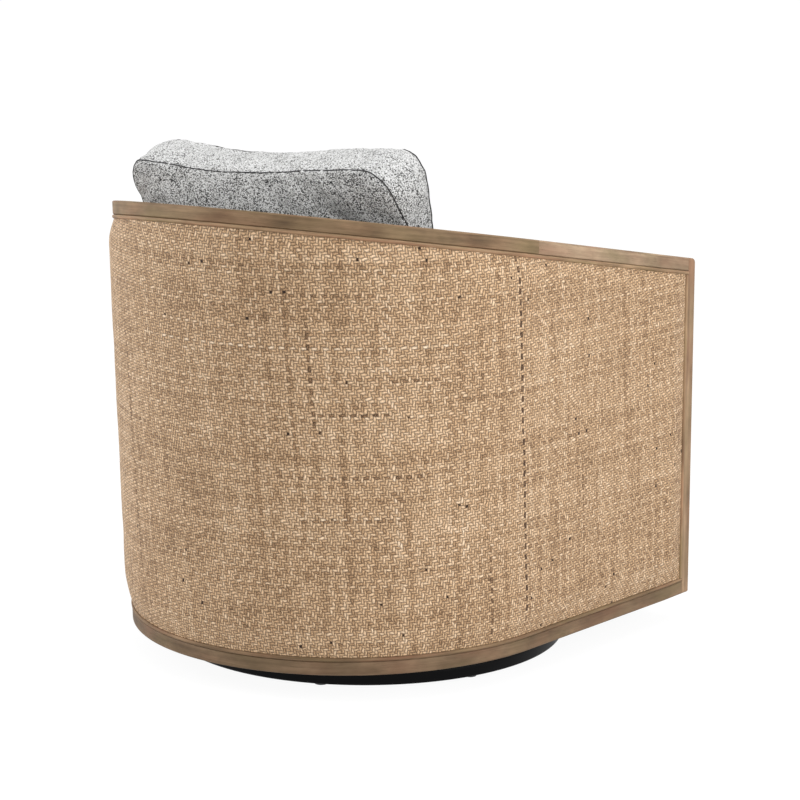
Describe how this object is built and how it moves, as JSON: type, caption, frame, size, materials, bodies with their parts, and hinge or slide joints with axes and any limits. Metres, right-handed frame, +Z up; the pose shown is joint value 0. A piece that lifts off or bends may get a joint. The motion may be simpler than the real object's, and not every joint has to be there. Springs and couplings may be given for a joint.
{
  "type": "swivel rocker",
  "caption": "Barrel-backed lounge chair with a woven cane back and loose cushions, that turns on a ball bearing and rocks on springs over a round floor ring.",
  "frame": {"origin": "on the floor, under the middle of the chair's bounding box", "axes": "+X to the sitter's left, the sitter faces -Y, +Z up"},
  "size_m": [0.8416, 0.7946, 0.8281],
  "materials": {
    "black_enamel": "satin black enamel",
    "zinc_steel": "zinc plated",
    "spring_steel": "oil tempered wire",
    "rubber": "matte",
    "nylon": "matte",
    "weathered_oak": "grey brown weathered oak",
    "pale_bead": "pale matte bead",
    "woven_cane": "tan twill of flat cane strands",
    "plywood": "unfinished plywood",
    "speckled_fabric": "grey speckled boucle",
    "deck_cloth": "plain grey cloth",
    "black_cloth": "black dust cloth"
  },
  "bodies": {
    "base": {"base_ring": "black_enamel", "base_cross": "black_enamel", "glide_1": "nylon", "glide_2": "nylon", "glide_3": "nylon", "glide_4": "nylon", "glide_5": "nylon", "glide_6": "nylon", "glide_7": "nylon", "glide_8": "nylon", "lower_race": "zinc_steel", "king_pin": "zinc_steel"},
    "ball_cage": {"ball_cage": "zinc_steel"},
    "carrier": {"swivel_plate": "black_enamel", "upper_race": "zinc_steel", "rocker_standard_left": "black_enamel", "rocker_standard_right": "black_enamel", "pivot_pin_left": "zinc_steel", "pivot_pin_right": "zinc_steel", "bumper_front": "rubber", "bumper_rear": "rubber", "coil_spring_front_left": "spring_steel", "coil_spring_front_right": "spring_steel", "coil_spring_rear_left": "spring_steel", "coil_spring_rear_right": "spring_steel"},
    "seat": {"rocker_hanger_left": "black_enamel", "rocker_hanger_right": "black_enamel", "top_rail_back": "weathered_oak", "top_rail_left": "weathered_oak", "top_rail_right": "weathered_oak", "bottom_rail_back": "weathered_oak", "bottom_rail_left": "weathered_oak", "bottom_rail_right": "weathered_oak", "bottom_rail_front": "weathered_oak", "front_post_left": "weathered_oak", "front_post_right": "weathered_oak", "bead_top": "pale_bead", "bead_bottom": "pale_bead", "bead_end_left": "pale_bead", "bead_end_right": "pale_bead", "woven_panel": "woven_cane", "back_liner": "plywood", "back_stud_left": "plywood", "back_stud_right": "plywood", "inside_back": "speckled_fabric", "inside_arm_left": "speckled_fabric", "inside_arm_right": "speckled_fabric", "front_apron": "speckled_fabric", "lower_hoop": "plywood", "upper_hoop": "plywood", "cross_rail_front": "plywood", "cross_rail_rear": "plywood", "dust_sheet": "black_cloth", "seat_spring_1": "spring_steel", "seat_spring_2": "spring_steel", "seat_spring_3": "spring_steel", "seat_spring_4": "spring_steel", "seat_deck": "deck_cloth", "seat_cushion": "speckled_fabric", "back_cushion": "speckled_fabric"}
  },
  "joints": [
    {"name": "swivel", "type": "hinge", "parent": "base", "child": "carrier", "pos_m": [0, -0.038, 0.0344], "axis": [0, 0, 1], "continuous": true},
    {"name": "cage_turn", "type": "hinge", "parent": "base", "child": "ball_cage", "pos_m": [0, -0.038, 0.0344], "axis": [0, 0, 1], "continuous": true},
    {"name": "rock", "type": "hinge", "parent": "carrier", "child": "seat", "pos_m": [0, -0.038, 0.106], "axis": [1, 0, 0], "range_deg": [-5, 5], "stiffness_Nm_per_rad": 450, "springref_deg": 2.38, "deforming": ["coil_spring_front_left", "coil_spring_front_right", "coil_spring_rear_left", "coil_spring_rear_right"]}
  ],
  "couplings": [
    {"joint": "cage_turn", "follows": "swivel", "ratio": 0.5}
  ]
}
